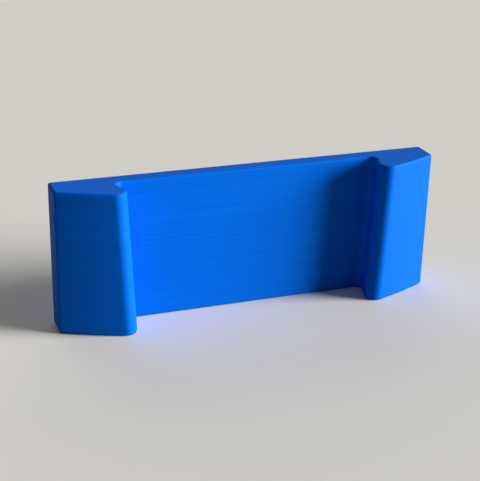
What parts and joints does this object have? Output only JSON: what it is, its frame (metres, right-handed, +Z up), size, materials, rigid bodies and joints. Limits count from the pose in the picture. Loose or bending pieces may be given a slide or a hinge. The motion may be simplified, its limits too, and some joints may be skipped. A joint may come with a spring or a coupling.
{
  "type": "pegboard hook",
  "caption": "Wide pegboard holder with slot hooks behind a flat back and a tapered, undercut channel between rounded shoulders that a slim hand tool drops into from above.",
  "frame": {"origin": "on the panel's front face, midway between the two slots and level with their centres", "axes": "+X to the right as seen from the front, +Y into the panel, +Z up"},
  "size_m": [0.0804, 0.0204, 0.03],
  "materials": {
    "blue_plastic": "satin, printed in fine layers"
  },
  "bodies": {
    "root": {"holder": "blue_plastic"}
  },
  "joints": []
}
